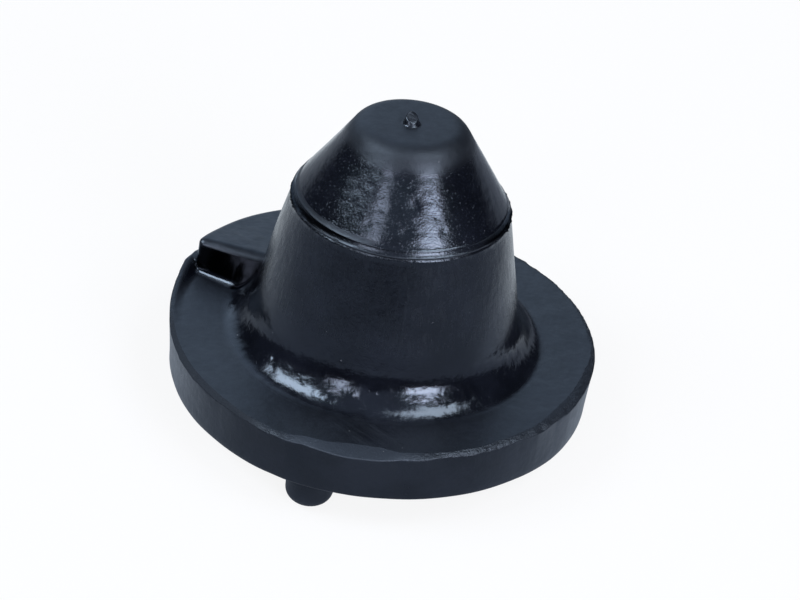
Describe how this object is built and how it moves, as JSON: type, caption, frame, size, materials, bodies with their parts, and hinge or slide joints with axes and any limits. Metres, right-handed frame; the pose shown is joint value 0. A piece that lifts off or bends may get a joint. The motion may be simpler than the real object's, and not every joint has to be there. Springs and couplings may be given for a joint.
{
  "type": "rubber buffer",
  "caption": "Moulded rubber spring buffer: round flange with a helical coil seat and stop, a tapered body with a domed-off conical nose, and a locating peg below.",
  "frame": {"origin": "centre of the flange's flat underside", "axes": "+Z along the body's axis, from the underside towards the nose; azimuths are counted from +X towards +Y, with the locating peg at 254 degrees and the coil stop at 164 degrees"},
  "size_m": [0.11, 0.11, 0.0864],
  "materials": {
    "black_rubber": "satin black, moulded"
  },
  "bodies": {
    "root": {"rubber_buffer": "black_rubber"}
  },
  "joints": []
}
